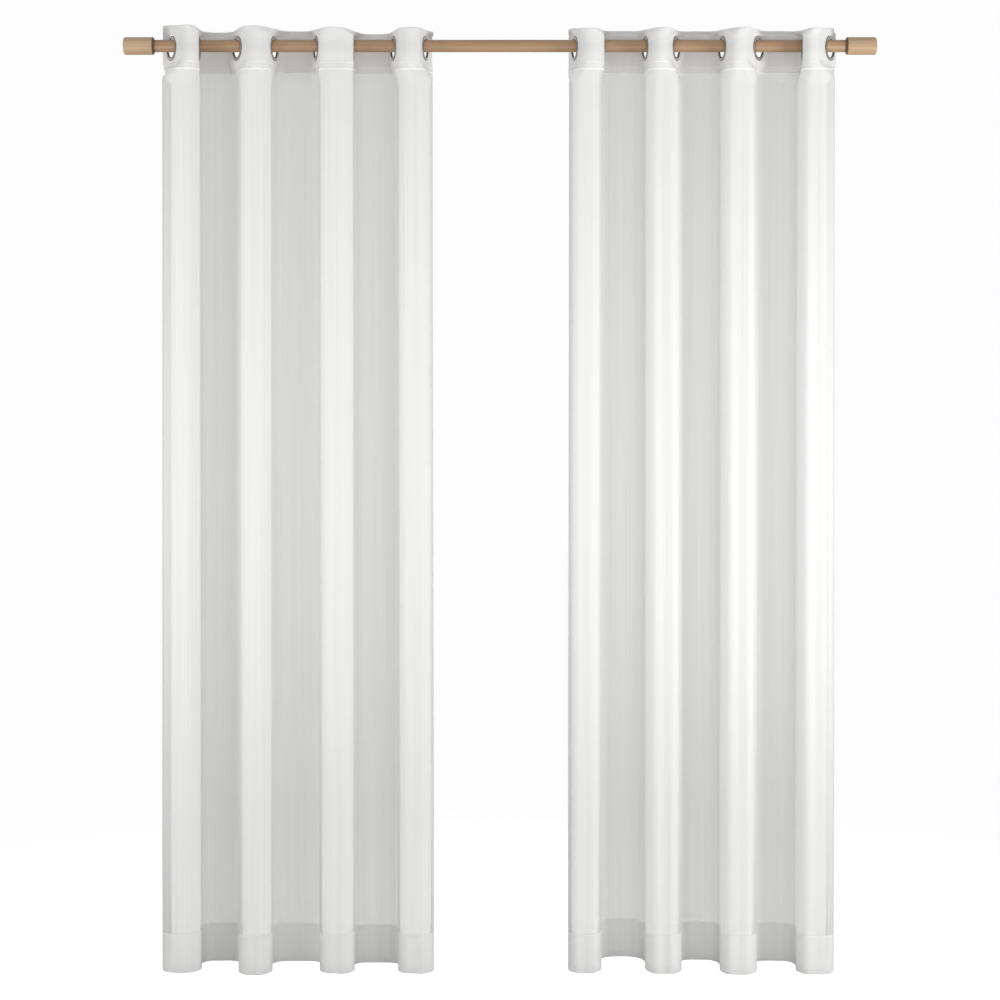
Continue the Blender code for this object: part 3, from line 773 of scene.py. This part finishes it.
def makeStitches(side):
    # two rows along the heading seam, one along the top of the hem and one down each side hem
    fabric = hanging[side]
    half = heading["thickness"] / 2
    single = panel["thickness"] / 2
    inset = 0.002
    rows = [stitchRow(fabric, (inset, cloth["headingDepth"] - above),
                      (flatWidth - inset, cloth["headingDepth"] - above), half, -half)
            for above in stitching["seamRows"]]
    hemLine = cloth["drop"] - panel["hem"] + stitching["hemInset"]
    rows.append(stitchRow(fabric, (inset, hemLine), (flatWidth - inset, hemLine), single,
                          -panel["hemGap"] - single))
    for place in (panel["sideHem"] - stitching["sideInset"],
                  flatWidth - panel["sideHem"] + stitching["sideInset"]):
        rows.append(stitchRow(fabric, (place, cloth["headingDepth"] + 0.002),
                              (place, cloth["drop"] - 0.002), single,
                              -panel["sideHemGap"] - single))
    shift = np.cumsum([0] + [len(row[0]) for row in rows])
    points = np.concatenate([row[0] for row in rows])
    quads = np.concatenate([row[1] + start for row, start in zip(rows, shift)])
    flat = np.concatenate([row[2] for row in rows])
    return addPiece("stitches" + side.capitalize(), points, quads, flat, "voile", threadFinish)


# ---- eyelets ----

eyelet = {"steps": 72, "bore": 0.0205, "rim": 0.0279, "neck": 0.0227,
          "crest": 0.0022, "edge": 0.0015, "under": 0.00078}


def eyeletSection():
    # half of the section from the middle of the bore over the rolled lip and down the domed
    # flange to the neck, and the other half as its mirror image, as (radius, place on Y)
    e = eyelet
    roll = np.linspace(math.pi, math.pi * 0.42, 6)
    lipRadius = e["crest"] * 0.55
    lip = np.stack((e["bore"] + lipRadius + lipRadius * np.cos(roll),
                    e["crest"] - lipRadius + lipRadius * np.sin(roll)), axis=1)
    share = np.linspace(0, 1, 6)[1:]
    dome = np.stack((between(lip[-1, 0], e["rim"], share),
                     between(lip[-1, 1], e["edge"], share ** 2.2)), axis=1)
    under = np.array([(e["rim"] - 0.0001, e["under"]), (e["neck"], e["under"])])
    half = np.concatenate((lip, dome, under))
    return np.concatenate((half * (1, -1), half[::-1]))[::-1]


def makeEyelet(side, number):
    # the section turned about the ring's own axis, then set square to the cloth on the rod
    x, angle = eyeletRows[side][number, :2]
    way = stepAlong(math.radians(angle), number % 2 == 0)
    section = eyeletSection()
    turn = np.arange(eyelet["steps"]) * 2 * math.pi / eyelet["steps"]
    radius, lift = section[:, 0][:, None], section[:, 1][:, None]
    along = radius * np.cos(turn)
    points = np.stack((x + way[0] * along - way[1] * lift, way[1] * along + way[0] * lift,
                       eyeletHeight + radius * np.sin(turn)), axis=-1)
    index = np.arange(points[..., 0].size).reshape(points.shape[:2])
    loop = np.concatenate((index, index[:1]), axis=0)
    loop = np.concatenate((loop, loop[:, :1]), axis=1)
    share = (section[:, 0] - eyelet["bore"]) / (eyelet["rim"] - eyelet["bore"])
    flat = np.stack(np.broadcast_arrays(turn * eyelet["rim"], share[:, None]), axis=-1)
    name = "eyelet{}{}".format(side.capitalize(), number + 1)
    return addPiece(name, points, gridQuads(loop)[:, ::-1], flat, "eyelet_metal", ringFinish,
                    ("eyelet_{}_{}".format(side, number + 1),))


# ---- rod and end caps ----

rod = {"radius": 0.014, "chamfer": 0.0006, "steps": 96}
cap = {"radius": 0.020, "length": 0.068, "chamfer": 0.002, "rounding": 0.004, "steps": 96}


def spindle(name, profile, steps, finish, slotName, node, flip=False):
    # the turned profile, closed by a flat end at each side
    points = turned(profile, steps)
    if flip:
        points = points * (-1, -1, 1)
    index = np.arange(points[..., 0].size).reshape(points.shape[:2])
    loop = np.concatenate((index, index[:, :1]), axis=1)
    quads = np.concatenate((gridQuads(loop), capQuads(index[0]), capQuads(index[-1])[:, ::-1]))
    return addPiece(name, points, quads, None, slotName, finish, (node,))


def makeRod():
    # a plain dowel with softened ends, closed by two small flat ends
    low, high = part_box("rod")
    r, c = rod["radius"], rod["chamfer"]
    half = high.x
    inner = np.linspace(-half + c, half - c, 9)
    profile = [(-half, r * 0.8), (-half, r - c)] + [(x, r) for x in inner]
    profile += [(half, r - c), (half, r * 0.8)]
    return spindle("rodDowel", profile, rod["steps"], rodFinish, "rod_wood", "rod")


def makeCap(side):
    # a turned cylinder: chamfered where it meets the rod, rounded at its outer end
    low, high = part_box("end_cap_right")
    c = cap
    turn = np.linspace(0, math.pi / 2, 7)
    inner = low.x
    profile = [(inner, c["radius"] * 0.5), (inner, c["radius"] - c["chamfer"]),
               (inner + c["chamfer"], c["radius"]), (inner + c["chamfer"] + 0.001, c["radius"])]
    end = inner + c["length"] - c["rounding"]
    profile += [(end + c["rounding"] * math.sin(t),
                 c["radius"] - c["rounding"] + c["rounding"] * math.cos(t)) for t in turn]
    profile += [(inner + c["length"], c["radius"] * 0.7)]
    return spindle("endCap" + side.capitalize(), profile, c["steps"], capFinish, "cap_wood",
                   "end_cap_" + side, flip=side == "left")


hanging = {side: HangingCloth(side) for side in sides}
threadFinish = Finish("whiteThread", Base_Color=(0.90, 0.90, 0.89, 1.0), Roughness=0.6,
                      Sheen_Weight=0.2).material
panels = {side: makePanel(side) for side in sides}
print("panels made")
headings = {side: makeHeading(side) for side in sides}
seams = {side: makeSeam(side) for side in sides}
print("headings made")
stitches = {side: makeStitches(side) for side in sides}
eyelets = {side: [makeEyelet(side, number) for number in range(8)] for side in sides}
print("stitches and eyelets made")
makeRod()
for side in sides:
    makeCap(side)
print("rod and caps made")


# ---- stage, light and camera ----

stage = {
    "floorHeight": -2.30, "floorRadius": 4.0, "fadeStart": 0.8, "fadeEnd": 3.4,
    "floorColour": (0.95, 0.95, 0.945), "floorGlow": 0.42,
    "baseRadius": 3.0, "baseColour": (0.2, 0.2, 0.2),
    "seen": (0.98, 0.98, 0.98), "fromAbove": 0.58, "fromBelow": 0.49,
}


def makeDisc(name, height, outer, material):
    # rings of points round the Z axis
    radius = np.linspace(0.01, outer, 24)[:, None]
    turn = np.arange(64) * 2 * math.pi / 64
    points = np.stack(np.broadcast_arrays(radius * np.cos(turn), radius * np.sin(turn), height),
                      axis=-1)
    index = np.arange(points[..., 0].size).reshape(points.shape[:2])
    loop = np.concatenate((index, index[:, :1]), axis=1)
    disc = addPiece(name, points, gridQuads(loop), finish=material)
    disc.visible_diffuse = name != "floor"
    return disc


def makeFloor():
    # a wide disc that fades into the plain background, and a dark one below it, not seen, that
    # keeps light from below off the cloth
    finish = Finish("paleFloor", Roughness=0.9, Specular_IOR_Level=0.1,
                    Base_Color=(*stage["floorColour"], 1.0),
                    Emission_Color=(*stage["floorColour"], 1.0),
                    Emission_Strength=stage["floorGlow"])
    place = finish.objectPlace()
    x, y = finish.split(place, 0), finish.split(place, 1)
    far = (x * x + y * y) ** 0.5
    finish.drive(Alpha=finish.span(far, stage["fadeStart"], stage["fadeEnd"], 1.0, 0.0))
    makeDisc("floor", stage["floorHeight"], stage["floorRadius"], finish.material)
    dark = Finish("darkBase", Roughness=1.0, Specular_IOR_Level=0.0,
                  Base_Color=(*stage["baseColour"], 1.0))
    base = makeDisc("darkBase", stage["floorHeight"] - 0.02, stage["baseRadius"], dark.material)
    base.visible_camera = False


def makeWorld():
    # a soft light all round that is stronger from above, by the height of each direction; the
    # background itself is seen a little brighter
    world = bpy.data.worlds.new("softRoom")
    bpy.context.scene.world = world
    world.use_nodes = True
    tree = world.node_tree
    light = tree.nodes["Background"]
    light.inputs["Color"].default_value = (1.0, 1.0, 1.0, 1.0)
    place = tree.nodes.new("ShaderNodeTexCoord")
    parts = tree.nodes.new("ShaderNodeSeparateXYZ")
    strength = tree.nodes.new("ShaderNodeMapRange")
    for socket, value in (("From Min", -0.4), ("From Max", 0.4), ("To Min", stage["fromBelow"]),
                          ("To Max", stage["fromAbove"])):
        strength.inputs[socket].default_value = value
    tree.links.new(place.outputs["Generated"], parts.inputs[0])
    tree.links.new(parts.outputs[2], strength.inputs["Value"])
    tree.links.new(strength.outputs[0], light.inputs["Strength"])
    seen = tree.nodes.new("ShaderNodeBackground")
    seen.inputs["Color"].default_value = (*stage["seen"], 1.0)
    path, mix = tree.nodes.new("ShaderNodeLightPath"), tree.nodes.new("ShaderNodeMixShader")
    tree.links.new(path.outputs["Is Camera Ray"], mix.inputs[0])
    tree.links.new(light.outputs[0], mix.inputs[1])
    tree.links.new(seen.outputs[0], mix.inputs[2])
    tree.links.new(mix.outputs[0], tree.nodes["World Output"].inputs[0])


def softLight(name, place, aim, width, height, power):
    data = bpy.data.lights.new(name, "AREA")
    data.shape, data.size, data.size_y, data.energy = "RECTANGLE", width, height, power
    light = bpy.data.objects.new(name, data)
    bpy.context.scene.collection.objects.link(light)
    light.visible_camera = False
    light.location = place
    light.rotation_euler = (Vector(aim) - Vector(place)).to_track_quat("-Z", "Y").to_euler()


view = {"distance": 4.7, "height": -0.76, "pitch": 0.536, "lens": 74.38, "shift": -0.10}


def makeCamera():
    data = bpy.data.cameras.new("photoCamera")
    data.sensor_fit, data.sensor_width = "HORIZONTAL", 36.0
    data.lens, data.shift_y = view["lens"], view["shift"]
    camera = bpy.data.objects.new("photoCamera", data)
    bpy.context.scene.collection.objects.link(camera)
    camera.location = (0.0, -view["distance"], view["height"])
    camera.rotation_euler = (math.radians(90 - view["pitch"]), 0.0, 0.0)
    bpy.context.scene.camera = camera


makeFloor()
makeWorld()
softLight("frontLight", (0.2, -1.5, -1.0), (0.1, 0.0, -1.0), 2.2, 0.5, 11.9)
softLight("leftLight", (-2.1, -1.1, -1.0), (-0.3, 0.0, -1.0), 0.7, 0.7, 18.0)
softLight("rightLight", (2.1, -1.1, -1.0), (0.3, 0.0, -1.0), 0.7, 0.7, 27.0)
softLight("lowLight", (2.4, -1.6, -1.9), (0.3, 0.0, -1.8), 0.6, 0.6, 6.0)
softLight("topLight", (0.1, -1.1, 0.65), (0.0, 0.0, 0.05), 2.0, 0.25, 0.8)
softLight("backLight", (0.0, 2.6, -0.9), (0.0, 0.0, -1.0), 2.2, 0.8, 13.0)
makeCamera()
bpy.context.scene.view_settings.view_transform = "Standard"
print("stage, lights and camera made")
